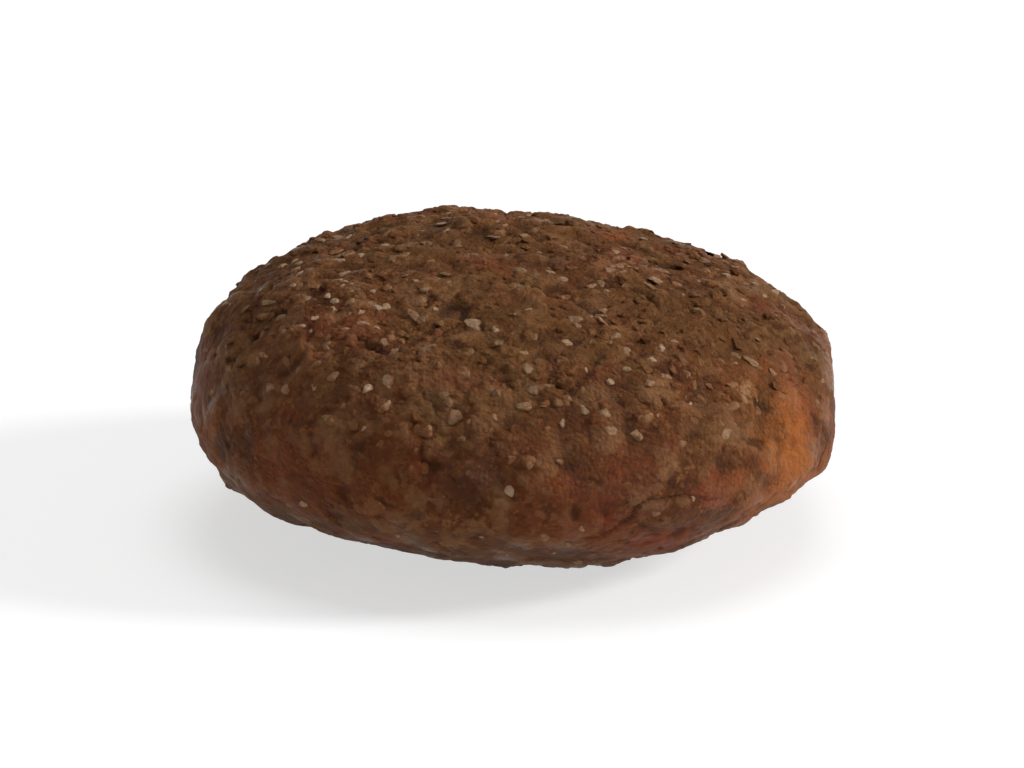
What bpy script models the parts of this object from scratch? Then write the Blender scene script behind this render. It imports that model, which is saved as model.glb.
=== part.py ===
"""Dry pet food kibble: one piece, cut from a puffed round strand of dough and baked dry.

It is a thick lens. Both cut faces swelled into domes, the crown more than the belly, and the
rim between them is rounded. It is a little out of round and lumpy, with shallow dents, one side
of the rim was pressed blunt, and the belly has a small flat spot, on which it lies. Its skin is
made of crumbs of meal, fused side by side, which stand out less on the rim that the die smoothed.

Run with: blender --background --python part.py
Units are metres, +Z is up, and the origin is at the middle of the flat spot's plane.
"""

from math import atan2, cos, hypot, pi, radians, sin, tan

import bmesh
import bpy
from mathutils import Vector, noise

MM = 0.001

# Overall form
WIDTH = 12.6 * MM
DEPTH = 12.0 * MM
CROWN_HEIGHT = 3.05 * MM
BELLY_DEPTH = 2.45 * MM

# How full each face is. 2 is an ellipse, and more is flatter in the middle with a rounder rim.
CROWN_FULLNESS = 2.7
BELLY_FULLNESS = 2.2

# The crown's highest place lies a little to the left and to the back
CROWN_LEAN_X = -0.9 * MM
CROWN_LEAN_Y = 0.25 * MM

# The plan is a circle with a slow three-cornered and a slower four-cornered swelling
THREE_CORNERED = 0.06 * MM
THREE_CORNERED_TURN = radians(200.0)
FOUR_CORNERED = 0.03 * MM
FOUR_CORNERED_TURN = radians(20.0)

# The flat spot on the belly, how softly its edge runs into the belly, and how far round it the
# crumbs were ironed out
REST_SPOT_WIDTH = 4.8 * MM
REST_SPOT_SOFTNESS = 0.04 * MM
REST_SPOT_IRONING = 1.4 * MM

# The blunt place on the right of the rim: how much was pressed in, and how soft its edge is
BLUNT_SIDE_PRESS = 0.42 * MM
BLUNT_SIDE_SOFTNESS = 0.22 * MM

# Lumps left by the swelling dough, coarse ones and small ones
COARSE_LUMP_SIZE = 3.4 * MM
COARSE_LUMP_HEIGHT = 0.11 * MM
SMALL_LUMP_SIZE = 1.3 * MM
SMALL_LUMP_HEIGHT = 0.055 * MM

# Crumbs of meal in the skin. Their edges wander, and each stands out by its own share of the
# height, down to the least share. The slope down to the groove between two is a share of their
# size. The shuffle parts the crumbs, so that two neighbours draw different chances.
CRUMB_SIZE = 1.2 * MM
CRUMB_HEIGHT = 0.16 * MM
CRUMB_LEAST_SHARE = 0.25
CRUMB_SLOPE = 0.6
CRUMB_WANDER = 0.12 * MM
CRUMB_WANDER_SIZE = 0.8 * MM
CRUMB_SHUFFLE = 37.0

# Where the chance in the crumbs' wandering edges starts, so that every build gives the same ones
CHANCE_START = 1795865686

# Share of the crumbs' height that the die left on the rim
RIM_ROUGHNESS = 0.5

# Shallow dents: the place of each in plan, its width and its depth
CROWN_DENTS = (
    (-1.9 * MM, -2.3 * MM, 3.2 * MM, 0.13 * MM),
    (2.7 * MM, 1.6 * MM, 2.8 * MM, 0.11 * MM),
    (3.3 * MM, -3.2 * MM, 2.2 * MM, 0.10 * MM),
)
BELLY_DENTS = (
    (-3.6 * MM, 2.2 * MM, 2.6 * MM, 0.14 * MM),
    (3.9 * MM, 1.9 * MM, 2.4 * MM, 0.12 * MM),
)

# Facets along each edge of the cube that the ball of faces is blown up from
FACETS_PER_SIDE = 30

BODY_COLOUR = (0.14, 0.058, 0.024, 1.0)
BODY_ROUGHNESS = 0.82


def clear_scene():
    """Remove every object that the new file starts with."""
    for thing in list(bpy.data.objects):
        bpy.data.objects.remove(thing, do_unlink=True)


def make_collection(name):
    """Return a new collection linked to the scene."""
    collection = bpy.data.collections.new(name)
    bpy.context.scene.collection.children.link(collection)
    return collection


def make_material(name, colour, roughness):
    """Return a plain non-metal Principled BSDF material."""
    material = bpy.data.materials.new(name)
    material.use_nodes = True
    shader = material.node_tree.nodes["Principled BSDF"]
    shader.inputs["Base Color"].default_value = colour
    shader.inputs["Roughness"].default_value = roughness
    shader.inputs["Metallic"].default_value = 0.0
    return material


def make_ball_of_faces(mesh_builder):
    """Blow a subdivided cube up into a unit ball of evenly sized four-sided faces."""
    bmesh.ops.create_cube(mesh_builder, size=2.0)
    bmesh.ops.subdivide_edges(
        mesh_builder, edges=mesh_builder.edges[:], cuts=FACETS_PER_SIDE - 1, use_grid_fill=True
    )
    for corner in mesh_builder.verts:
        even = Vector([tan(value * pi / 4) for value in corner.co])
        corner.co = even.normalized()


def press(distance, softness):
    """Return the distance to a flat plate after pressing: never less than 0, with a soft edge."""
    if distance <= -softness:
        return 0.0
    if distance >= softness:
        return distance
    return (distance + softness) ** 2 / (4 * softness)


def dome(spread, fullness):
    """Return the height, from 0 to 1, of a dome at a distance from its axis, from 0 to 1."""
    return max(1.0 - spread ** fullness, 0.0) ** 0.5


def plan_radius(turn):
    """Return the radius of the rim, seen from above, in the direction of turn."""
    half_width = WIDTH / 2 + (BLUNT_SIDE_PRESS if cos(turn) > 0 else 0.0)
    half_depth = DEPTH / 2
    oval = 1 / hypot(cos(turn) / half_width, sin(turn) / half_depth)
    three = THREE_CORNERED * cos(3 * (turn - THREE_CORNERED_TURN))
    four = FOUR_CORNERED * cos(4 * (turn - FOUR_CORNERED_TURN))
    return oval + three + four


def dent_depth(place, dents):
    """Return how deep the dents of one face are at a place in plan."""
    depth = 0.0
    for x, y, width, deepest in dents:
        spread = hypot(place.x - x, place.y - y) / (width / 2)
        if spread < 1:
            depth += deepest * (1 - spread ** 2) ** 2
    return depth


def lump_height(place):
    """Return how far the lumps stand out at a place on the surface."""
    coarse = COARSE_LUMP_HEIGHT * noise.noise(place / COARSE_LUMP_SIZE)
    small = SMALL_LUMP_HEIGHT * noise.noise(place / SMALL_LUMP_SIZE + Vector((7.0, 3.0, 5.0)))
    return coarse + small


def crumb_height(place):
    """Return how far the crumb at a place stands out from the middle of the crumbs' height."""
    wander = noise.noise_vector(place / CRUMB_WANDER_SIZE) * CRUMB_WANDER
    distances, cores = noise.voronoi((place + wander) / CRUMB_SIZE)
    climb = min((distances[1] - distances[0]) / CRUMB_SLOPE, 1.0)
    body = climb ** 2 * (3 - 2 * climb)
    share = CRUMB_LEAST_SHARE + (1 - CRUMB_LEAST_SHARE) * crumb_chance(cores[0])
    return CRUMB_HEIGHT * (share * body - 0.5)


def crumb_chance(core):
    """Return a number from 0 to 1 that belongs to the crumb round one core."""
    return abs(noise.cell(core * CRUMB_SHUFFLE))


def skin_roughness(outward, place):
    """Return the share of the crumbs' height at a place: less on the rim, none on the flat spot."""
    share = 1 - (1 - RIM_ROUGHNESS) * (1 - abs(outward.z))
    if outward.z < 0:
        beyond = (hypot(place.x, place.y) - REST_SPOT_WIDTH / 2) / REST_SPOT_IRONING
        share *= min(max(beyond, 0.0), 1.0)
    return share


def swell(direction):
    """Return the place on the swollen kibble of a point on the unit ball."""
    is_crown = direction.z >= 0
    fullness = CROWN_FULLNESS if is_crown else BELLY_FULLNESS
    spread = hypot(direction.x, direction.y)
    rise = dome(spread, fullness)
    turn = atan2(direction.y, direction.x)
    reach = plan_radius(turn) * spread
    place = Vector((reach * cos(turn), reach * sin(turn), 0.0))
    if is_crown:
        place.z = CROWN_HEIGHT * rise
        place.x += CROWN_LEAN_X * rise ** 2
        place.y += CROWN_LEAN_Y * rise ** 2
    else:
        unpressed_depth = BELLY_DEPTH / dome(REST_SPOT_WIDTH / min(WIDTH, DEPTH), BELLY_FULLNESS)
        place.z = -unpressed_depth * rise
    return place


def surface_normal(direction, place):
    """Return the outward direction at a place, near enough for lumps: an ellipsoid's normal."""
    thickness = CROWN_HEIGHT if direction.z >= 0 else BELLY_DEPTH
    slope = Vector((place.x / (WIDTH / 2) ** 2, place.y / (DEPTH / 2) ** 2, place.z / thickness ** 2))
    return slope.normalized()


def kibble_point(direction):
    """Return the finished place of a point on the unit ball, with the rim's plane at height 0."""
    place = swell(direction)
    outward = surface_normal(direction, place)
    place += outward * (lump_height(place) + skin_roughness(outward, place) * crumb_height(place))
    if direction.z >= 0:
        place.z -= dent_depth(place, CROWN_DENTS)
    else:
        place.z += dent_depth(place, BELLY_DENTS)
    place.x = WIDTH / 2 - press(WIDTH / 2 - place.x, BLUNT_SIDE_SOFTNESS)
    place.z = press(place.z + BELLY_DEPTH, REST_SPOT_SOFTNESS)
    return place


def join_flat_spot(mesh_builder):
    """Join the faces of the flat spot into one, as far out as the nearest place that is raised."""
    reach = min(
        corner.co.xy.length for corner in mesh_builder.verts if 0 < corner.co.z < REST_SPOT_SOFTNESS
    )
    flat = [
        face for face in mesh_builder.faces
        if all(corner.co.z == 0 and corner.co.xy.length < reach for corner in face.verts)
    ]
    bmesh.ops.dissolve_faces(mesh_builder, faces=flat)


def centre_in_plan(mesh_builder):
    """Move the kibble sideways so that its origin is under the middle of its outline."""
    xs = [corner.co.x for corner in mesh_builder.verts]
    ys = [corner.co.y for corner in mesh_builder.verts]
    middle = Vector(((min(xs) + max(xs)) / 2, (min(ys) + max(ys)) / 2, 0.0))
    bmesh.ops.translate(mesh_builder, verts=mesh_builder.verts[:], vec=-middle)


def make_kibble(collection, material):
    """Build the kibble as one closed mesh and link it to the collection."""
    mesh_builder = bmesh.new()
    make_ball_of_faces(mesh_builder)
    for corner in mesh_builder.verts:
        corner.co = kibble_point(corner.co)
    join_flat_spot(mesh_builder)
    centre_in_plan(mesh_builder)
    bmesh.ops.recalc_face_normals(mesh_builder, faces=mesh_builder.faces[:])
    mesh = bpy.data.meshes.new("kibble")
    mesh_builder.to_mesh(mesh)
    mesh_builder.free()
    mesh.materials.append(material)
    mesh.shade_smooth()
    kibble = bpy.data.objects.new("kibble", mesh)
    collection.objects.link(kibble)
    return kibble


def main():
    """Build the kibble in an empty scene."""
    clear_scene()
    noise.seed_set(CHANCE_START)
    body = make_material("baked_meal", BODY_COLOUR, BODY_ROUGHNESS)
    make_kibble(make_collection("dry_pet_food_kibble"), body)


main()
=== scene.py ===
"""Looks of one dry pet food kibble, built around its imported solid.

The crust is a fine closed mesh laid over the solid. It keeps the solid's form and its coarse
crumbs, and adds what is finer: packed grains of meal, blown pores and hairline cracks. Harder
bits of bran, grit and bone meal are separate small meshes, seated in the crust.
Units are metres and +Z is up. Names that end in _mm are in millimetres.
"""

import logging
import math
from dataclasses import dataclass, field
from enum import Enum

import bmesh
import bpy
import numpy as np
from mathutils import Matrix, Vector, kdtree, noise
from mathutils.bvhtree import BVHTree


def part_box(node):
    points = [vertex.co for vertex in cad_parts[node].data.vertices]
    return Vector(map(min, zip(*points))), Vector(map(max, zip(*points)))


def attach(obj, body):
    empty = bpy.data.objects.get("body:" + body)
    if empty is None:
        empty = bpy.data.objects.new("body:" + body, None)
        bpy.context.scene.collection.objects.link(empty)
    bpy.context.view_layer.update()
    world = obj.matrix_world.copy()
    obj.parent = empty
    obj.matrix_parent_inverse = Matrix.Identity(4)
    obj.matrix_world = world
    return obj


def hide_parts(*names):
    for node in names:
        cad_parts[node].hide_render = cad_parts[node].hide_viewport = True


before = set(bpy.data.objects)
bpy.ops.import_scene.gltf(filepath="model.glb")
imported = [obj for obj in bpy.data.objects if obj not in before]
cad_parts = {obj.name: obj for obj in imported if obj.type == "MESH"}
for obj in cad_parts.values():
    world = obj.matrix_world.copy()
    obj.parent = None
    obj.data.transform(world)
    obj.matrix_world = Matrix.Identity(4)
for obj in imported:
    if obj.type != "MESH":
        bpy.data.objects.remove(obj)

LOG = logging.getLogger("kibble")
MM = 0.001
BODY = "root"
NODE = "kibble"

Colour = tuple[float, float, float, float]


def linear(red: int, green: int, blue: int) -> Colour:
    """Return the linear colour of a display colour given in steps of 255.

    Args:
        red: red step.
        green: green step.
        blue: blue step.

    Returns:
        Red, green, blue and an alpha of 1.
    """
    steps = [step / 255 for step in (red, green, blue)]
    values = [((s + 0.055) / 1.055) ** 2.4 if s > 0.04045 else s / 12.92 for s in steps]
    return (*values, 1.0)


class Tone(Enum):
    """Colours of the ground meal, from scorched bran to bone meal. The scorched tone also paints shade
    into crevices and pits, and the toasted tone also paints a highlight on the rim.
    """

    # Also the colour of the painted shade in crevices and pits.
    SCORCHED_AND_SHADE = linear(50, 22, 6)
    DARK = linear(82, 40, 12)
    BROWN = linear(114, 62, 21)
    OLIVE = linear(112, 74, 32)
    RUSSET = linear(134, 64, 20)
    ROSY = linear(162, 76, 48)
    # Also the colour of a painted highlight on the right end of the rim.
    TOASTED_AND_HIGHLIGHT = linear(190, 108, 44)
    TAN = linear(158, 110, 70)
    CREAM = linear(202, 168, 134)


class Shape(Enum):
    """Kinds of seated bit: the least and greatest stretch of its ball along each of its axes."""

    GRIT = ((1.1, 1.6), (0.95, 1.2), (0.55, 0.8))
    FLAKE = ((1.1, 1.9), (0.7, 1.1), (0.25, 0.4))


class Tree:
    """A node tree with short ways to add and link its nodes."""

    def __init__(self, tree: bpy.types.NodeTree) -> None:
        """Keep the tree.

        Args:
            tree: a material's or a group's node tree.
        """
        self.tree = tree

    def add(self, kind: str, inputs: dict | None = None, **settings) -> bpy.types.Node:
        """Add a node.

        Args:
            kind: the node's type name.
            inputs: a value, or an output socket to link, for each named or numbered input.
            settings: the node's own properties.

        Returns:
            The new node.
        """
        node = self.tree.nodes.new(kind)
        for name, value in settings.items():
            setattr(node, name, value)
        for name, value in (inputs or {}).items():
            socket = node.inputs[name]
            if isinstance(value, bpy.types.NodeSocket):
                self.tree.links.new(value, socket)
            else:
                socket.default_value = value
        return node

    def mix(self, factor, low, high, blend: str = "MIX") -> bpy.types.NodeSocket:
        """Add a colour mix.

        Args:
            factor: a socket or a number.
            low: the colour or socket at 0.
            high: the colour or socket at 1.
            blend: how the two are blended.

        Returns:
            The mixed colour's socket.
        """
        node = self.add("ShaderNodeMix", data_type="RGBA", blend_type=blend, clamp_result=True)
        colours = [socket for socket in node.inputs if socket.type == "RGBA"]
        for socket, value in ((node.inputs[0], factor), (colours[0], low), (colours[1], high)):
            if isinstance(value, bpy.types.NodeSocket):
                self.tree.links.new(value, socket)
            else:
                socket.default_value = value
        return next(socket for socket in node.outputs if socket.type == "RGBA")

    def maths(self, operation: str, *values, clamp: bool = False) -> bpy.types.NodeSocket:
        """Add a sum of one to three numbers or sockets.

        Args:
            operation: the Math node's operation.
            values: numbers or sockets, in order.
            clamp: whether the result is held between 0 and 1.

        Returns:
            The result's socket.
        """
        return self.add("ShaderNodeMath", dict(enumerate(values)), operation=operation,
                        use_clamp=clamp).outputs[0]

    def remap(self, value, low: float, high: float, new_low: float = 0.0,
              new_high: float = 1.0) -> bpy.types.NodeSocket:
        """Stretch a range of numbers to another, smoothly and held at its ends.

        Args:
            value: the socket to stretch.
            low: where the old range starts.
            high: where the old range ends.
            new_low: where the new range starts.
            new_high: where the new range ends.

        Returns:
            The result's socket.
        """
        return self.add("ShaderNodeMapRange", {"Value": value, "From Min": low, "From Max": high,
                                               "To Min": new_low, "To Max": new_high},
                        interpolation_type="SMOOTHSTEP").outputs["Result"]

    def attribute(self, name: str) -> bpy.types.NodeSocket:
        """Read a number that the mesh holds at each corner.

        Args:
            name: the attribute's name.

        Returns:
            The number's socket.
        """
        return self.add("ShaderNodeAttribute", attribute_name=name).outputs["Fac"]

    def group(self, tree: bpy.types.NodeTree, inputs: dict) -> bpy.types.Node:
        """Place a node group with its own values.

        Args:
            tree: the group.
            inputs: a value, or an output socket to link, for each named input.

        Returns:
            The new node.
        """
        return self.add("ShaderNodeGroup", inputs, node_tree=tree)


def new_group(name: str, inputs: dict[str, tuple[str, object]], outputs: dict[str, str]) -> tuple:
    """Start a node group.

    Args:
        name: the group's name.
        inputs: the socket type and default of each input.
        outputs: the socket type of each output.

    Returns:
        The group wrapped in a Tree, its input node and its output node.
    """
    tree = bpy.data.node_groups.new(name, "ShaderNodeTree")
    for label, (kind, default) in inputs.items():
        socket = tree.interface.new_socket(label, in_out="INPUT", socket_type=kind)
        if default is not None:
            socket.default_value = default
    for label, kind in outputs.items():
        tree.interface.new_socket(label, in_out="OUTPUT", socket_type=kind)
    wrapped = Tree(tree)
    return wrapped, wrapped.add("NodeGroupInput"), wrapped.add("NodeGroupOutput")


def make_meal_colour_group() -> bpy.types.NodeTree:
    """Build the group that mottles a colour the way ground meal is mottled.

    Returns:
        The group, which puts out a colour and the lightness of its grains.
    """
    tree, given, result = new_group(
        "meal_colour",
        {
            "Vector": ("NodeSocketVector", None),
            "Colour": ("NodeSocketColor", Tone.BROWN.value),
            "Dark": ("NodeSocketColor", Tone.DARK.value),
            "Light": ("NodeSocketColor", Tone.TAN.value),
            "Grains per metre": ("NodeSocketFloat", 11000.0),
            "Strength": ("NodeSocketFloat", 1.0),
        },
        {"Colour": "NodeSocketColor", "Lightness": "NodeSocketFloat"},
    )
    wobble = tree.add("ShaderNodeTexNoise", {"Vector": given.outputs["Vector"], "Scale": 16000.0,
                                             "Detail": 3.0})
    bent = tree.add("ShaderNodeVectorMath", {0: wobble.outputs["Color"], 1: (0.5, 0.5, 0.5)},
                    operation="SUBTRACT")
    bend = tree.add("ShaderNodeVectorMath", {0: bent.outputs[0], "Scale": 0.00009}, operation="SCALE")
    place = tree.add("ShaderNodeVectorMath", {0: given.outputs["Vector"], 1: bend.outputs[0]})
    grains = tree.add("ShaderNodeTexVoronoi", {"Vector": place.outputs[0],
                                               "Scale": given.outputs["Grains per metre"]})
    apart = tree.add("ShaderNodeSeparateColor", {"Color": grains.outputs["Color"]})
    patches = tree.add("ShaderNodeTexNoise", {"Vector": given.outputs["Vector"], "Scale": 1500.0,
                                              "Detail": 6.0, "Roughness": 0.64})
    grain = tree.maths("MULTIPLY", tree.maths("SUBTRACT", apart.outputs["Red"], 0.5), 0.8)
    lightness = tree.maths("ADD", grain, patches.outputs["Fac"])
    darker = tree.maths("MULTIPLY", tree.remap(lightness, 0.5, 0.05), given.outputs["Strength"])
    lighter = tree.maths("MULTIPLY", tree.remap(lightness, 0.52, 1.0), given.outputs["Strength"])
    colour = tree.mix(darker, given.outputs["Colour"], given.outputs["Dark"])
    colour = tree.mix(lighter, colour, given.outputs["Light"])
    tree.tree.links.new(colour, result.inputs["Colour"])
    tree.tree.links.new(lightness, result.inputs["Lightness"])
    return tree.tree


def make_grit_group() -> bpy.types.NodeTree:
    """Build the group that gives the height of the finest grit, from 0 to 1.

    Returns:
        The group.
    """
    tree, given, result = new_group(
        "fine_grit",
        {"Vector": ("NodeSocketVector", None), "Grains per metre": ("NodeSocketFloat", 12000.0)},
        {"Height": "NodeSocketFloat"},
    )
    grains = tree.add("ShaderNodeTexVoronoi", {"Vector": given.outputs["Vector"],
                                               "Scale": given.outputs["Grains per metre"]})
    dust = tree.add("ShaderNodeTexNoise", {"Vector": given.outputs["Vector"], "Scale": 9000.0,
                                           "Detail": 6.0, "Roughness": 0.75})
    domes = tree.maths("SUBTRACT", 1.0, grains.outputs["Distance"], clamp=True)
    height = tree.maths("ADD", tree.maths("MULTIPLY", domes, 0.5), dust.outputs["Fac"])
    tree.tree.links.new(height, result.inputs["Height"])
    return tree.tree


@dataclass(frozen=True)
class BakedMealFinish:
    """The finish of the baked dough, and of the bits of the same meal in it."""

    colour: Colour
    dark: Colour
    light: Colour
    grains_per_metre: float = 11000.0
    mottling: float = 0.7
    patchiness: float = 0.6
    blotches: float = 0.5
    roughness: float = 0.6
    bump_mm: float = 0.1
    specular: float = 0.18
    tone_share: float = 0.7
    rim_evenness: float = 0.4
    flush: float = 0.45
    stain_share: float = 0.8
    # Strength of the painted highlight that lightens raised crumbs towards tan.
    painted_highlight_share: float = 0.4
    # Strength of the painted shade that darkens crevices between crumbs.
    painted_crevice_shade: float = 0.48
    # Strength of the painted shade that darkens pores, pits and cracks.
    painted_pit_shade: float = 0.35
    grease: float = 0.28

    def start(self, name: str, groups: dict[str, bpy.types.NodeTree]) -> tuple:
        """Start a material with the mottled colour and the fine grit.

        Args:
            name: the material's name.
            groups: the shared node groups.

        Returns:
            The material, its Tree, its shader, the mottled colour, its lightness and the grit's height.
        """
        material = bpy.data.materials.new(name)
        material.use_nodes = True
        tree = Tree(material.node_tree)
        shader = material.node_tree.nodes["Principled BSDF"]
        shader.inputs["Specular IOR Level"].default_value = self.specular
        shader.inputs["Metallic"].default_value = 0.0
        place = tree.add("ShaderNodeTexCoord").outputs["Object"]
        meal = tree.group(groups["meal_colour"], {
            "Vector": place, "Colour": self.colour, "Dark": self.dark, "Light": self.light,
            "Grains per metre": self.grains_per_metre, "Strength": self.mottling,
        })
        grit = tree.group(groups["fine_grit"], {"Vector": place})
        rim = tree.attribute("rim")
        unevenness = tree.maths("MULTIPLY_ADD", rim, -self.rim_evenness, 1.0)
        tone = tree.maths("MULTIPLY", tree.attribute("tone"), unevenness)
        darker = tree.maths("MULTIPLY", tree.remap(tone, -0.3, -1.0), self.tone_share)
        colour = tree.mix(darker, meal.outputs["Colour"], self.dark)
        lighter = tree.maths("MULTIPLY", tree.remap(tone, 0.3, 1.0), self.tone_share)
        colour = tree.mix(lighter, colour, self.light)
        blobs = tree.add("ShaderNodeTexNoise", {"Vector": place, "Scale": 1350.0, "Detail": 1.5,
                                                "Roughness": 0.5}).outputs["Fac"]
        colour = tree.mix(tree.remap(blobs, 0.51, 0.63, 0.0, self.blotches), colour, self.light)
        colour = tree.mix(tree.remap(blobs, 0.48, 0.36, 0.0, self.blotches), colour, self.dark)
        patches = tree.add("ShaderNodeTexNoise", {"Vector": place, "Scale": 500.0, "Detail": 5.0,
                                                  "Roughness": 0.65})
        hues = tree.add("ShaderNodeSeparateColor", {"Color": patches.outputs["Color"]})
        cut_face = tree.maths("SUBTRACT", 1.0, rim)
        olive = tree.maths("MULTIPLY", tree.remap(patches.outputs["Fac"], 0.66, 0.38), cut_face)
        colour = tree.mix(tree.maths("MULTIPLY", olive, self.patchiness), colour, Tone.OLIVE.value)
        warm = tree.maths("MULTIPLY", tree.remap(patches.outputs["Fac"], 0.4, 0.64), rim)
        colour = tree.mix(tree.maths("MULTIPLY", warm, self.patchiness), colour, Tone.RUSSET.value)
        flush = tree.remap(hues.outputs["Green"], 0.52, 0.68, 0.0, self.flush * self.patchiness)
        colour = tree.mix(flush, colour, Tone.ROSY.value)
        # The toasted stains include a painted highlight on the right end of the rim; the others are the
        # dough's own colour.
        for stain, tone_there in (("rosy", Tone.ROSY), ("toasted_and_highlight", Tone.TOASTED_AND_HIGHLIGHT)):
            share = tree.maths("MULTIPLY", tree.remap(patches.outputs["Fac"], 0.4, 0.58),
                               tree.attribute(stain))
            colour = tree.mix(tree.maths("MULTIPLY", share, self.stain_share), colour, tone_there.value)
        return material, tree, shader, colour, meal.outputs["Lightness"], grit.outputs["Height"]

    def finish(self, tree: Tree, shader: bpy.types.Node, colour, roughness, height) -> None:
        """Link the colour, roughness and bump to the shader.

        Args:
            tree: the material's Tree.
            shader: the Principled BSDF.
            colour: the base colour's socket.
            roughness: the roughness's socket.
            height: the bump height's socket.
        """
        bump = tree.add("ShaderNodeBump", {"Height": height, "Strength": 1.0,
                                           "Distance": self.bump_mm * MM})
        links = tree.tree.links
        links.new(colour, shader.inputs["Base Color"])
        links.new(roughness, shader.inputs["Roughness"])
        links.new(bump.outputs["Normal"], shader.inputs["Normal"])

    def bits(self, name: str, groups: dict[str, bpy.types.NodeTree]) -> bpy.types.Material:
        """Return the finish of separate seated bits.

        Args:
            name: the material's name.
            groups: the shared node groups.

        Returns:
            The material.
        """
        material, tree, shader, colour, lightness, height = self.start(name, groups)
        roughness = tree.remap(lightness, 0.0, 1.0, self.roughness - 0.08, self.roughness + 0.08)
        self.finish(tree, shader, colour, roughness, height)
        return material

    def crust(self, name: str, groups: dict[str, bpy.types.NodeTree]) -> bpy.types.Material:
        """Return the finish of the crust, which also reads what was stamped on its mesh: painted shade
        in crevices and pits, and a painted highlight on raised crumbs.

        Args:
            name: the material's name.
            groups: the shared node groups.

        Returns:
            The material.
        """
        material, tree, shader, colour, lightness, height = self.start(name, groups)
        place = tree.add("ShaderNodeTexCoord").outputs["Object"]
        relief = tree.attribute("relief")
        # Painted highlight: raised crumbs are lightened towards tan.
        painted_highlight = tree.maths("MULTIPLY", tree.remap(relief, 0.3, 1.0), self.painted_highlight_share)
        colour = tree.mix(painted_highlight, colour, Tone.TAN.value)
        # Painted shade: crevices between crumbs are darkened towards the scorched tone.
        painted_crevice_shadow = tree.maths("MULTIPLY", tree.remap(relief, 0.0, -0.9), self.painted_crevice_shade)
        colour = tree.mix(painted_crevice_shadow, colour, Tone.SCORCHED_AND_SHADE.value)
        # Painted shade: pores, pits and cracks are darkened towards the scorched tone.
        hollow = tree.maths("MULTIPLY", tree.attribute("hollow"), self.painted_pit_shade, clamp=True)
        colour = tree.mix(hollow, colour, Tone.SCORCHED_AND_SHADE.value)
        greasy = tree.add("ShaderNodeTexNoise", {"Vector": place, "Scale": 1400.0, "Detail": 3.0})
        sheen = tree.maths("MULTIPLY", tree.remap(greasy.outputs["Fac"], 0.5, 0.66), -self.grease)
        roughness = tree.maths("ADD", sheen, tree.remap(lightness, 0.0, 1.0, self.roughness - 0.06,
                                                        self.roughness + 0.08))
        self.finish(tree, shader, colour, roughness, height)
        return material


def corner_places(mesh: bpy.types.Mesh) -> np.ndarray:
    """Return the places of a mesh's corners, one row each."""
    flat = np.empty(len(mesh.vertices) * 3, dtype=np.float32)
    mesh.vertices.foreach_get("co", flat)
    return flat.reshape(-1, 3).astype(np.float64)


def corner_normals(mesh: bpy.types.Mesh) -> np.ndarray:
    """Return the outward directions at a mesh's corners, one row each."""
    flat = np.empty(len(mesh.vertices) * 3, dtype=np.float32)
    mesh.vertices.foreach_get("normal", flat)
    return flat.reshape(-1, 3).astype(np.float64)


def move_corners(mesh: bpy.types.Mesh, places: np.ndarray) -> None:
    """Put a mesh's corners at the given places."""
    mesh.vertices.foreach_set("co", places.astype(np.float32).ravel())
    mesh.update()


def chance(core: Vector, salt: float) -> float:
    """Return a number from 0 to 1 that is always the same for the crumb round one core."""
    return (math.sin(core.x * 12.9898 + core.y * 78.233 + core.z * 37.719 + salt) * 43758.5453) % 1.0


@dataclass(frozen=True)
class CrumbLayer:
    """Crumbs of about one size, fused side by side in the crust."""

    size_mm: float
    height_mm: float
    standing: float
    pitted: float
    groove: float
    staining: float
    salt: float

    def shape(self, place: Vector) -> tuple[float, float, float]:
        """Return what the layer does at one place.

        Args:
            place: a place, in millimetres.

        Returns:
            The height in millimetres, the crumb's share of the tone, and how much of a pit it is.
        """
        here = place / self.size_mm + Vector((self.salt, self.salt, self.salt))
        distances, cores = noise.voronoi(here)
        core = cores[0]
        body = min((distances[1] - distances[0]) / self.groove, 1.0)
        body *= 2 - body
        pick = chance(core, 1.0)
        tone = (2 * chance(core, 2.0) - 1) * self.staining
        if pick < self.pitted:
            return -self.height_mm * 1.3 * body, tone, body
        if pick > self.pitted + self.standing:
            return 0.0, 0.0, 0.0
        lean = Vector((chance(core, 3.0) - 0.5, chance(core, 4.0) - 0.5, chance(core, 5.0) - 0.5))
        level = 0.45 + 0.55 * chance(core, 6.0) + 1.3 * lean.dot(here - core)
        return self.height_mm * body * max(level, 0.1), tone, 0.0


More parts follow.
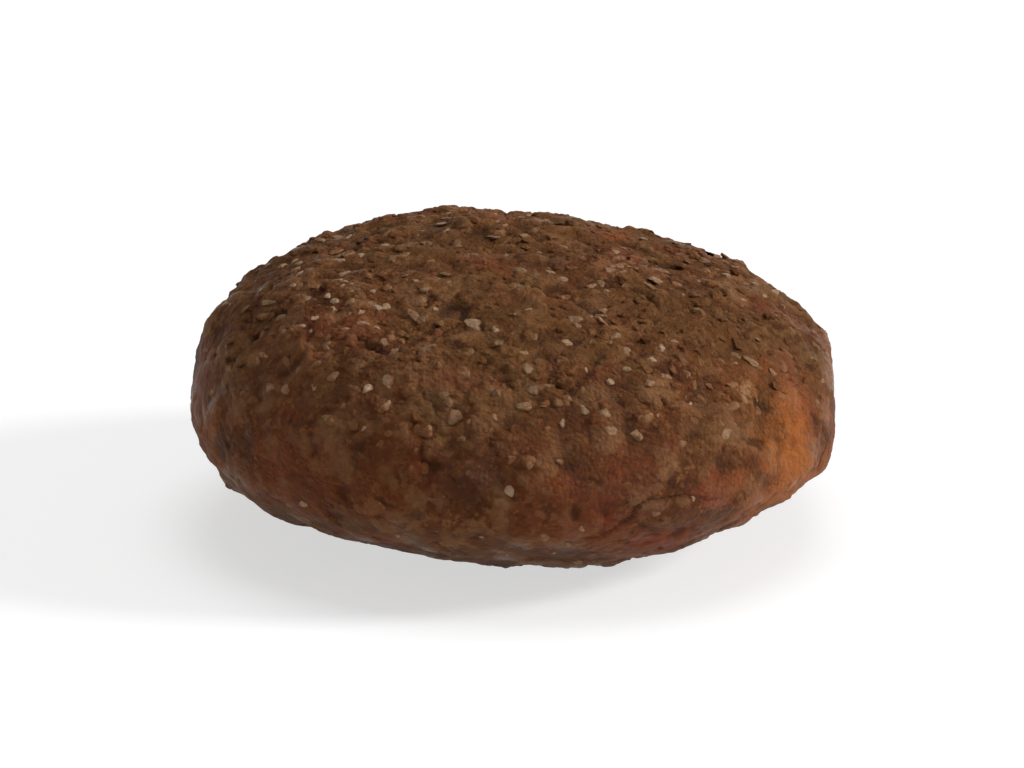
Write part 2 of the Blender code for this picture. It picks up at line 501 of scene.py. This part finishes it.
@dataclass
class Relief:
    """What the crust has at each corner beyond the plain form."""

    places: np.ndarray
    normals: np.ndarray
    pairs: np.ndarray
    height: np.ndarray = field(init=False)
    tone: np.ndarray = field(init=False)
    hollow: np.ndarray = field(init=False)
    tree: kdtree.KDTree = field(init=False)

    def __post_init__(self) -> None:
        """Start with a bare surface and index its corners."""
        count = len(self.places)
        self.height = np.zeros(count)
        self.tone = np.zeros(count)
        self.hollow = np.zeros(count)
        self.tree = kdtree.KDTree(count)
        for index, place in enumerate(self.places):
            self.tree.insert(place, index)
        self.tree.balance()

    def averaged(self, values: np.ndarray, rounds: int) -> np.ndarray:
        """Return values averaged with their neighbours' a number of times.

        Args:
            values: one number, or one row, for each corner.
            rounds: how many times each is averaged.

        Returns:
            The averaged values.
        """
        first, second = self.pairs.T
        count = len(self.places)
        ways = np.bincount(first, minlength=count) + np.bincount(second, minlength=count)
        columns = values.reshape(count, -1).astype(np.float64)
        for _ in range(rounds):
            total = np.stack([np.bincount(first, column[second], count)
                              + np.bincount(second, column[first], count) for column in columns.T],
                             axis=1)
            columns = 0.5 * (columns + total / ways[:, None])
        return columns.reshape(values.shape)

    def add_crumbs(self, layers: tuple[CrumbLayer, ...]) -> None:
        """Cover the surface with layers of crumbs, whose edges wander.

        Args:
            layers: the layers, coarse to fine.
        """
        for index, place in enumerate(self.places):
            here = Vector(place) / MM
            here += 0.14 * noise.noise_vector(here / 0.45) + 0.05 * noise.noise_vector(here / 0.13)
            for layer in layers:
                height, tone, pit = layer.shape(here)
                self.height[index] += height * MM
                self.tone[index] += tone
                self.hollow[index] = max(self.hollow[index], pit)

    def add_fractal(self, height_mm: float, size_mm: float, octaves: int) -> None:
        """Add soft chance lumps.

        Args:
            height_mm: how far they stand out.
            size_mm: the size of the largest.
            octaves: how many finer sizes are added.
        """
        scale = 1 / (size_mm * MM)
        lumps = [noise.fractal(Vector(place) * scale, 0.75, 2.1, octaves) for place in self.places]
        self.height += np.array(lumps) * height_mm * MM

    def around(self, centre: int, reach: float,
               turn: float) -> tuple[np.ndarray, np.ndarray, np.ndarray]:
        """Find the corners near one corner.

        Args:
            centre: the corner's number.
            reach: how far to look, in metres.
            turn: the angle of the first axis about the surface's normal.

        Returns:
            The corners' numbers and their offsets along two axes in the surface.
        """
        found = np.array([index for _, index, _ in self.tree.find_range(self.places[centre], reach)])
        offsets = self.places[found] - self.places[centre]
        along, across = surface_axes(self.normals[centre], turn)
        return found, offsets @ along, offsets @ across

    def add_pore(self, centre: int, radius: float, depth: float, turn: float) -> None:
        """Sink one blown pore with ragged walls, longer than wide.

        Args:
            centre: the corner under its middle.
            radius: half its length, in metres.
            depth: how deep it is, in metres.
            turn: which way its length lies.
        """
        found, along, across = self.around(centre, radius * 1.6, turn)
        ragged = np.array([noise.noise(Vector(self.places[i]) * 6000.0) for i in found])
        spread = np.hypot(along / radius, across / (radius * 0.62)) * (1 + 0.5 * ragged)
        bowl = np.clip((1 - spread) / 0.6, 0.0, 1.0)
        self.height[found] = self.height[found] * (1 - 0.7 * bowl) - depth * bowl
        self.hollow[found] = np.maximum(self.hollow[found], bowl)

    def add_crack(self, centre: int, length: float, width: float, depth: float,
                  rng: np.random.Generator) -> None:
        """Cut one wandering hairline crack.

        Args:
            centre: the corner where it starts.
            length: its length, in metres.
            width: its width, in metres.
            depth: its depth in the middle, in metres.
            rng: the source of its wandering.
        """
        step = width * 0.5
        heading = rng.uniform(0.0, math.tau)
        here = centre
        steps = max(int(length / step), 2)
        for number in range(steps):
            found, along, across = self.around(here, width * 1.6, heading)
            taper = math.sin(math.pi * (number + 0.5) / steps) ** 0.5
            groove = np.exp(-(np.hypot(along, across) / (width * 0.6)) ** 2) * taper
            cut = self.height[found] * (1 - groove) - depth * groove
            self.height[found] = np.minimum(self.height[found], cut)
            self.hollow[found] = np.maximum(self.hollow[found], groove * 0.8)
            heading += rng.normal(0.0, 0.25)
            here = int(found[np.argmin(np.hypot(along - step * 1.6, across))])


def surface_axes(normal: np.ndarray, turn: float) -> tuple[np.ndarray, np.ndarray]:
    """Return two axes that lie in a surface.

    Args:
        normal: the surface's outward direction.
        turn: the angle of the first axis about it.

    Returns:
        The two axes.
    """
    helper = np.array((1.0, 0.0, 0.0)) if abs(normal[0]) < 0.7 else np.array((0.0, 1.0, 0.0))
    side = np.cross(normal, helper)
    side /= np.linalg.norm(side)
    other = np.cross(normal, side)
    return (math.cos(turn) * side + math.sin(turn) * other,
            math.cos(turn) * other - math.sin(turn) * side)


@dataclass(frozen=True)
class Stain:
    """A coloured patch of the skin: most are the oven's or the recipe's colour, and the large toasted
    patch on the right end of the rim is a painted highlight.
    """

    name: str
    x: float
    y: float
    above_rim_mm: float
    reach_mm: float
    strength: float

    def shares(self, places: np.ndarray, half_width: float, half_depth: float,
               rim_level: float) -> np.ndarray:
        """Return how much each place is stained, from 0 to 1.

        Args:
            places: places on the crust, one row each.
            half_width: half the solid's width.
            half_depth: half the solid's depth.
            rim_level: the height of the solid's widest line.

        Returns:
            One share for each place.
        """
        middle = np.array((self.x * half_width, self.y * half_depth,
                           rim_level + self.above_rim_mm * MM))
        spread = np.linalg.norm(places - middle, axis=1) / (self.reach_mm * MM)
        return self.strength * np.clip(1.5 - 1.5 * spread, 0.0, 1.0)


@dataclass
class Crust:
    """The kibble's outside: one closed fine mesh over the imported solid."""

    solid: bpy.types.Object
    cells_per_side: int = 127
    smoothing_rounds: int = 12
    base_rounds: int = 150
    inset_mm: float = 0.07
    crown_fullness: float = 2.6
    belly_fullness: float = 2.2
    crumbs: tuple[CrumbLayer, ...] = (
        CrumbLayer(0.60, 0.070, 0.60, 0.014, 0.36, 1.0, 7.7),
        CrumbLayer(0.30, 0.045, 0.72, 0.030, 0.40, 0.7, 1.3),
    )
    lumps: tuple[tuple[float, float, int], ...] = ((0.05, 0.9, 3), (0.02, 0.2, 3))
    pores: int = 18
    pore_radius_mm: tuple[float, float] = (0.12, 0.24)
    pore_depth: tuple[float, float] = (0.4, 0.7)
    cracks: int = 12
    crack_length_mm: tuple[float, float] = (0.8, 2.2)
    crack_width_mm: tuple[float, float] = (0.06, 0.09)
    crack_depth_mm: tuple[float, float] = (0.03, 0.07)
    relief_rounds: int = 30
    relief_range_mm: float = 0.06
    calming: float = 0.6
    calm_belly: float = 0.9
    stains: tuple[Stain, ...] = (
        # Painted highlight: this large toasted patch lightens the right end of the rim where the key
        # light falls.
        Stain("toasted_and_highlight", 0.82, -0.52, 0.0, 2.2, 1.0),
        Stain("toasted_and_highlight", -0.90, -0.44, -0.1, 1.2, 0.7),
        Stain("toasted_and_highlight", 0.36, 0.32, 2.6, 0.6, 1.0),
        Stain("rosy", 0.50, -0.84, -0.5, 1.9, 0.9),
        Stain("rosy", 0.34, 0.34, 2.6, 1.0, 1.0),
    )
    seed: int = 4021
    mesh: bpy.types.Mesh = field(init=False)
    relief: Relief = field(init=False)
    rim: np.ndarray = field(init=False)
    calm: np.ndarray = field(init=False)
    stained: dict[str, np.ndarray] = field(init=False)

    def even_ball(self) -> bpy.types.Mesh:
        """Return a unit ball of even four-sided faces, blown up from a cube."""
        builder = bmesh.new()
        bmesh.ops.create_cube(builder, size=2.0)
        bmesh.ops.subdivide_edges(builder, edges=builder.edges[:], cuts=self.cells_per_side - 1,
                                  use_grid_fill=True)
        mesh = bpy.data.meshes.new("crust")
        builder.to_mesh(mesh)
        builder.free()
        even = np.tan(corner_places(mesh) * (math.pi / 4))
        move_corners(mesh, even / np.linalg.norm(even, axis=1, keepdims=True))
        return mesh

    def rim_level(self) -> float:
        """Return the height of the solid's widest line, in metres."""
        corners = corner_places(self.solid.data)
        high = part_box(NODE)[1]
        reach = np.hypot(corners[:, 0] / high[0], corners[:, 1] / high[1])
        return float(corners[reach > 0.97 * reach.max(), 2].mean())

    def lens_places(self, directions: np.ndarray) -> tuple[np.ndarray, np.ndarray]:
        """Spread the ball's corners evenly over a plain lens of the solid's size.

        Args:
            directions: the ball's corners, one row each.

        Returns:
            Places on the lens and its outward directions there.
        """
        low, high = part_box(NODE)
        half_width, half_depth = (high[0] - low[0]) / 2, (high[1] - low[1]) / 2
        rim = self.rim_level()
        reach = (half_width + half_depth) / 2
        latitudes = np.linspace(-math.pi / 2, math.pi / 2, 4001)
        fullness = np.where(latitudes > 0, self.crown_fullness, self.belly_fullness)
        thick = np.where(latitudes > 0, high[2] - rim, rim)
        spread = np.cos(latitudes).clip(0, 1) ** (2 / fullness)
        rise = thick * np.sin(latitudes)
        run = np.hypot(np.diff(spread * reach), np.diff(rise))
        area = np.concatenate(([0.0], np.cumsum(run * (spread[1:] + spread[:-1]) / 2)))
        share = (1 + directions[:, 2]) / 2
        latitude = np.interp(share, area / area[-1], latitudes)
        out = np.interp(latitude, latitudes, spread)
        turn = np.arctan2(directions[:, 1], directions[:, 0])
        places = np.stack((half_width * out * np.cos(turn), half_depth * out * np.sin(turn),
                           rim + np.interp(latitude, latitudes, rise)), axis=1)
        slope = np.interp(latitude, latitudes, np.gradient(rise, latitudes))
        lean = np.interp(latitude, latitudes, np.gradient(spread * reach, latitudes))
        normals = np.stack((slope * np.cos(turn), slope * np.sin(turn), -lean), axis=1)
        return places, normals / np.linalg.norm(normals, axis=1, keepdims=True)

    def lay_on_solid(self) -> None:
        """Move the ball's corners onto the solid and soften its facets."""
        places, normals = self.lens_places(corner_places(self.mesh))
        surface = BVHTree.FromPolygons([v.co for v in self.solid.data.vertices],
                                       [p.vertices for p in self.solid.data.polygons])
        start = 1.0 * MM
        for index, (place, normal) in enumerate(zip(places, normals)):
            hit = surface.ray_cast(Vector(place + normal * start), Vector(-normal), 4 * start)[0]
            places[index] = hit if hit else surface.find_nearest(Vector(place))[0]
        pairs = np.empty(len(self.mesh.edges) * 2, dtype=np.int32)
        self.mesh.edges.foreach_get("vertices", pairs)
        pairs = pairs.reshape(-1, 2)
        places = Relief(places, normals, pairs).averaged(places, self.smoothing_rounds)
        low, high = (np.array(corner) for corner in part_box(NODE))
        span = places.max(axis=0) - places.min(axis=0)
        middle = (places.max(axis=0) + places.min(axis=0)) / 2
        places = (places - middle) * (high - low) / span + (low + high) / 2
        move_corners(self.mesh, places)
        self.relief = Relief(places, corner_normals(self.mesh), pairs)
        steepness = 1 - np.abs(self.relief.normals[:, 2]) / 0.8
        self.rim = np.clip(steepness / 0.6, 0.0, 1.0)
        belly = np.clip(-self.relief.normals[:, 2] / 0.4, 0.0, 1.0)
        self.calm = np.maximum(self.rim, belly * self.calm_belly)
        self.stained = {stain.name: np.zeros(len(places)) for stain in self.stains}
        for stain in self.stains:
            shares = stain.shares(places, high[0], high[1], self.rim_level())
            self.stained[stain.name] = np.maximum(self.stained[stain.name], shares)

    def coarse_relief(self) -> np.ndarray:
        """Return how far the solid's own crumbs stand out or lie back at each corner, in metres."""
        places, normals = self.relief.places, self.relief.normals
        base = self.relief.averaged(places, self.base_rounds)
        standing = ((places - base) * normals).sum(axis=1)
        return standing - self.relief.averaged(standing, self.base_rounds)

    def roughen(self) -> None:
        """Give the laid surface its crumbs, pores and cracks, the same in every run."""
        noise.seed_set(self.seed)
        rng = np.random.default_rng(self.seed)
        relief = self.relief
        relief.add_crumbs(self.crumbs)
        for height_mm, size_mm, octaves in self.lumps:
            relief.add_fractal(height_mm, size_mm, octaves)
        spots = rng.permutation(len(relief.places))
        for centre in spots[:self.pores]:
            radius = rng.uniform(*self.pore_radius_mm) * MM
            depth = radius * rng.uniform(*self.pore_depth)
            relief.add_pore(centre, radius, depth, rng.uniform(0.0, math.tau))
        for centre in spots[-self.cracks:]:
            length = rng.uniform(*self.crack_length_mm) * MM
            width = rng.uniform(*self.crack_width_mm) * MM
            depth = rng.uniform(*self.crack_depth_mm) * MM
            relief.add_crack(int(centre), length, width, depth, rng)

    def build(self, material: bpy.types.Material) -> bpy.types.Object:
        """Build the crust.

        Args:
            material: its finish.

        Returns:
            The crust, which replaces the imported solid.
        """
        self.mesh = self.even_ball()
        self.lay_on_solid()
        self.roughen()
        relief = self.relief
        rise = relief.height * (1 - self.calming * self.calm) - self.inset_mm * MM
        grown = relief.places + relief.normals * rise[:, None]
        grown[:, 2] = np.maximum(grown[:, 2], 0.0)
        move_corners(self.mesh, grown)
        # The relief and hollow numbers drive the painted shade in crevices and pits and the painted
        # highlight on raised crumbs.
        local = relief.height - relief.averaged(relief.height, self.relief_rounds) + self.coarse_relief()
        values = {"tone": relief.tone, "hollow": relief.hollow * (1 - 0.7 * self.calm),
                  "rim": self.rim, "relief": np.clip(local / (self.relief_range_mm * MM), -1.0, 1.0),
                  **self.stained}
        for name, numbers in values.items():
            layer = self.mesh.attributes.new(name, "FLOAT", "POINT")
            layer.data.foreach_set("value", numbers.astype(np.float32))
        self.mesh.shade_smooth()
        self.mesh.materials.append(material)
        crust = bpy.data.objects.new("crust", self.mesh)
        bpy.context.scene.collection.objects.link(crust)
        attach(crust, BODY)
        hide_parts(NODE)
        return crust


@dataclass
class Seats:
    """The places on the finished crust where bits can be pressed in."""

    crust: Crust
    bareness: float = 0.8
    clearance: float = 1.8
    taken: np.ndarray = field(init=False)
    surface: np.ndarray = field(init=False)
    normals: np.ndarray = field(init=False)

    def __post_init__(self) -> None:
        """Start with every place free, apart from the pits."""
        self.taken = self.crust.relief.hollow > 0.5
        self.surface = corner_places(self.crust.mesh)
        self.normals = self.crust.relief.normals

    def choose(self, count: int, radius_mm: tuple[float, float], apart: float,
               rng: np.random.Generator, spot_mm: tuple[float, ...] | None) -> list[tuple[int, float]]:
        """Choose free places, clear of the spot that the kibble lies on.

        Args:
            count: how many to choose.
            radius_mm: least and greatest radius of a bit.
            apart: how far the next bit stays away, in radii.
            rng: the source of chance.
            spot_mm: where they all lie, as x, y and reach seen from above, or None for anywhere.

        Returns:
            The corner under each bit and the bit's radius in metres.
        """
        chosen = []
        order = rng.permutation(len(self.surface))
        if spot_mm:
            x, y, reach = (value * MM for value in spot_mm)
            spread = np.hypot(self.surface[order, 0] - x, self.surface[order, 1] - y)
            order = order[(spread < reach) & (self.normals[order, 2] > 0)]
        for index in order:
            if len(chosen) == count:
                break
            radius = rng.uniform(*radius_mm) * MM
            if self.taken[index] or self.surface[index, 2] < self.clearance * radius:
                continue
            if rng.random() < self.bareness * self.crust.calm[index]:
                continue
            near = self.crust.relief.tree.find_range(self.crust.relief.places[index], radius * apart)
            self.taken[[other for _, other, _ in near]] = True
            chosen.append((int(index), radius))
        return chosen


@dataclass
class SeatedBits:
    """Hard bits of one kind, each a separate angular chip pressed most of the way into the crust."""

    name: str
    count: int
    radius_mm: tuple[float, float]
    shape: Shape
    finish: BakedMealFinish
    seed: int
    fineness: int = 2
    apart: float = 1.25
    lift: float = -0.3
    sinking: float = 0.2
    spot_mm: tuple[float, ...] | None = None
    cuts: int = 10
    cut_level: tuple[float, float] = (0.5, 0.8)
    tilt: float = 0.15
    tilt_calming: float = 0.8
    sharp_edge_deg: float = 28.0

    def ball(self) -> tuple[np.ndarray, list[tuple[int, ...]]]:
        """Return the corners and faces of the unit ball that each bit is cut from."""
        builder = bmesh.new()
        bmesh.ops.create_icosphere(builder, subdivisions=self.fineness, radius=1.0)
        corners = np.array([tuple(corner.co) for corner in builder.verts])
        faces = [tuple(corner.index for corner in face.verts) for face in builder.faces]
        builder.free()
        return corners, faces

    def cut_bit(self, ball: np.ndarray, rng: np.random.Generator) -> np.ndarray:
        """Cut one bit from the ball, its flat way along Z.

        Args:
            ball: the unit ball's corners.
            rng: the source of its chance shape.

        Returns:
            The bit's corners, for a radius of 1.
        """
        shape = ball.copy()
        for _ in range(self.cuts):
            way = rng.normal(0.0, 1.0, 3)
            way /= np.linalg.norm(way)
            over = np.clip(shape @ way - rng.uniform(*self.cut_level), 0.0, None)
            shape -= over[:, None] * way
        return shape * np.array([rng.uniform(*limits) for limits in self.shape.value])

    def build(self, seats: Seats, material: bpy.types.Material) -> bpy.types.Object:
        """Build the bits and seat them in the crust.

        Args:
            seats: the free places.
            material: their finish.

        Returns:
            One mesh with every bit.
        """
        rng = np.random.default_rng(self.seed)
        ball, faces = self.ball()
        corners, polygons = [], []
        values = {"tone": [], "rim": [], **{name: [] for name in seats.crust.stained}}
        places = seats.choose(self.count, self.radius_mm, self.apart, rng, self.spot_mm)
        for index, radius in places:
            normal = seats.normals[index]
            calm = seats.crust.calm[index]
            outward = normal + rng.normal(0.0, self.tilt, 3) * (1 - self.tilt_calming * calm)
            outward /= np.linalg.norm(outward)
            along, across = surface_axes(outward, rng.uniform(0.0, math.tau))
            axes = np.stack((along, across, outward))
            bit = self.cut_bit(ball, rng) * radius
            first = len(ball) * len(corners)
            polygons += [tuple(first + corner for corner in face) for face in faces]
            lift = self.lift - self.sinking * calm
            corners.append(bit @ axes + seats.surface[index] + normal * radius * lift)
            values["tone"].append(rng.uniform(-1.0, 1.0))
            values["rim"].append(seats.crust.rim[index])
            for name, shares in seats.crust.stained.items():
                values[name].append(shares[index])
        mesh = bpy.data.meshes.new(self.name)
        mesh.from_pydata(np.concatenate(corners), [], polygons)
        for name, numbers in values.items():
            layer = mesh.attributes.new(name, "FLOAT", "POINT")
            layer.data.foreach_set("value", np.repeat(numbers, len(ball)).astype(np.float32))
        mesh.shade_smooth()
        mesh.set_sharp_from_angle(angle=math.radians(self.sharp_edge_deg))
        mesh.materials.append(material)
        bits = bpy.data.objects.new(self.name, mesh)
        bpy.context.scene.collection.objects.link(bits)
        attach(bits, BODY)
        return bits


@dataclass(frozen=True)
class Lamp:
    """One square soft lamp, placed from the middle of the kibble."""

    name: str
    offset: tuple[float, float, float]
    width: float
    watts: float


@dataclass
class Studio:
    """The pale floor, the soft lamps and the camera."""

    elevation_deg: float = 20.0
    lens_mm: float = 400.0
    sensor_mm: float = 36.0
    shown_width_mm: float = 20.0
    floor_reach: float = 0.5
    floor_rise: float = 0.05
    near_glow: float = 0.62
    glow_reach: tuple[float, float] = (0.04, 0.25)
    room_light: float = 0.165
    lamps: tuple[Lamp, ...] = (
        Lamp("key", (0.60, -0.02, 0.30), 0.14, 3.5),
        Lamp("top", (0.05, 0.1, 0.6), 0.4, 1.5),
    )

    def aim(self, thing: bpy.types.Object, place: Vector, target: Vector) -> None:
        """Put a lamp or camera at a place and point it at a target.

        Args:
            thing: the lamp or camera.
            place: where it stands.
            target: what it points at.
        """
        thing.location = place
        thing.rotation_mode = "QUATERNION"
        thing.rotation_quaternion = (target - place).to_track_quat("-Z", "Y")

    def build_floor(self) -> bpy.types.Object:
        """Build the white floor, which the camera sees as plain white apart from the shadow.

        Returns:
            The floor, a wide dish whose edge hides the horizon.
        """
        builder = bmesh.new()
        bmesh.ops.create_circle(builder, cap_ends=True, segments=96, radius=self.floor_reach)
        edge = bmesh.ops.extrude_edge_only(builder, edges=builder.edges[:])["geom"]
        raised = [corner for corner in edge if isinstance(corner, bmesh.types.BMVert)]
        bmesh.ops.translate(builder, verts=raised, vec=(0.0, 0.0, self.floor_rise))
        mesh = bpy.data.meshes.new("floor")
        builder.to_mesh(mesh)
        builder.free()
        floor = bpy.data.objects.new("floor", mesh)
        bpy.context.scene.collection.objects.link(floor)
        material = bpy.data.materials.new("white_sweep")
        material.use_nodes = True
        tree = Tree(material.node_tree)
        shader = material.node_tree.nodes["Principled BSDF"]
        shader.inputs["Roughness"].default_value = 0.9
        shader.inputs["Specular IOR Level"].default_value = 0.0
        path = tree.add("ShaderNodeLightPath")
        seen = tree.maths("ADD", path.outputs["Is Camera Ray"], path.outputs["Is Glossy Ray"])
        seen = tree.maths("ADD", seen, path.outputs["Is Transmission Ray"], clamp=True)
        paper = tree.mix(seen, (0.85, 0.85, 0.85, 1.0), (0.5, 0.5, 0.5, 1.0))
        tree.tree.links.new(paper, shader.inputs["Base Color"])
        away = tree.add("ShaderNodeVectorMath", {0: tree.add("ShaderNodeTexCoord").outputs["Object"]},
                        operation="LENGTH").outputs["Value"]
        glow = tree.remap(away, *self.glow_reach, self.near_glow, 1.0)
        shader.inputs["Emission Color"].default_value = (1.0, 1.0, 1.0, 1.0)
        tree.tree.links.new(tree.maths("MULTIPLY", seen, glow), shader.inputs["Emission Strength"])
        mesh.materials.append(material)
        return floor

    def add_lamp(self, lamp: Lamp, target: Vector) -> None:
        """Add a lamp and point it at the kibble.

        Args:
            lamp: the lamp's name, place, width in metres and power.
            target: the middle of the kibble.
        """
        data = bpy.data.lights.new(lamp.name, "AREA")
        data.shape = "SQUARE"
        data.size = lamp.width
        data.energy = lamp.watts
        thing = bpy.data.objects.new(lamp.name, data)
        bpy.context.scene.collection.objects.link(thing)
        self.aim(thing, target + Vector(lamp.offset), target)

    def build(self) -> None:
        """Build the floor, the lamps, the world and the camera."""
        scene = bpy.context.scene
        self.build_floor()
        low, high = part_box(NODE)
        middle = (Vector(low) + Vector(high)) / 2
        for lamp in self.lamps:
            self.add_lamp(lamp, middle)
        world = bpy.data.worlds.new("soft_room")
        world.use_nodes = True
        world.node_tree.nodes["Background"].inputs["Color"].default_value = (1.0, 1.0, 1.0, 1.0)
        world.node_tree.nodes["Background"].inputs["Strength"].default_value = self.room_light
        scene.world = world
        data = bpy.data.cameras.new("camera")
        data.lens = self.lens_mm
        data.sensor_width = self.sensor_mm
        data.clip_start = 0.01
        camera = bpy.data.objects.new("camera", data)
        scene.collection.objects.link(camera)
        tilt = math.radians(self.elevation_deg)
        distance = self.shown_width_mm * MM * self.lens_mm / self.sensor_mm
        back = Vector((0.0, -math.cos(tilt), math.sin(tilt)))
        self.aim(camera, middle + back * distance, middle)
        scene.camera = camera
        scene.view_settings.view_transform = "Standard"


def main() -> None:
    """Build the studio, the crust and the seated bits."""
    logging.basicConfig(level=logging.INFO, format="%(message)s")
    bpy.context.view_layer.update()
    Studio().build()
    groups = {"meal_colour": make_meal_colour_group(), "fine_grit": make_grit_group()}
    dark, brown, tan, cream = Tone.DARK.value, Tone.BROWN.value, Tone.TAN.value, Tone.CREAM.value
    dough = BakedMealFinish(brown, dark, tan)
    crust = Crust(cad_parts[NODE])
    piece = crust.build(dough.crust("baked_crust", groups))
    LOG.info("%s: %s faces", piece.name, len(piece.data.polygons))
    seats = Seats(crust)
    families = (
        SeatedBits("bone_meal", 100, (0.06, 0.13), Shape.GRIT,
                   BakedMealFinish(cream, tan, cream, patchiness=0.25, blotches=0.2, roughness=0.55),
                   14, fineness=3, apart=3.0),
        # Painted highlight: a chain of pale bits on the crown stands in for a cluster of glints.
        SeatedBits("painted_glint_cluster", 13, (0.07, 0.12), Shape.GRIT,
                   BakedMealFinish(cream, tan, cream, patchiness=0.3, blotches=0.2, roughness=0.5), 21,
                   fineness=3, apart=1.5, spot_mm=(-2.9, -1.8, 0.8)),
        SeatedBits("bran_flakes", 90, (0.09, 0.18), Shape.FLAKE,
                   BakedMealFinish(tan, brown, cream, patchiness=0.4), 11,
                   fineness=3, apart=1.6, lift=-0.05, sinking=0.4),
        SeatedBits("husks", 26, (0.13, 0.22), Shape.FLAKE,
                   BakedMealFinish(tan, brown, cream, patchiness=0.3, roughness=0.5), 16,
                   fineness=3, apart=3.0, lift=-0.1, sinking=0.4),
        SeatedBits("brown_grit", 900, (0.08, 0.15), Shape.GRIT, BakedMealFinish(brown, dark, tan), 12),
        SeatedBits("tan_grit", 480, (0.09, 0.17), Shape.GRIT, BakedMealFinish(tan, brown, cream), 15),
        SeatedBits("dark_grit", 90, (0.06, 0.11), Shape.GRIT,
                   BakedMealFinish(dark, Tone.SCORCHED_AND_SHADE.value, brown), 13),
    )
    for family in families:
        piece = family.build(seats, family.finish.bits(f"{family.name}_finish", groups))
        LOG.info("%s: %s faces", piece.name, len(piece.data.polygons))


if __name__ == "__main__":
    main()
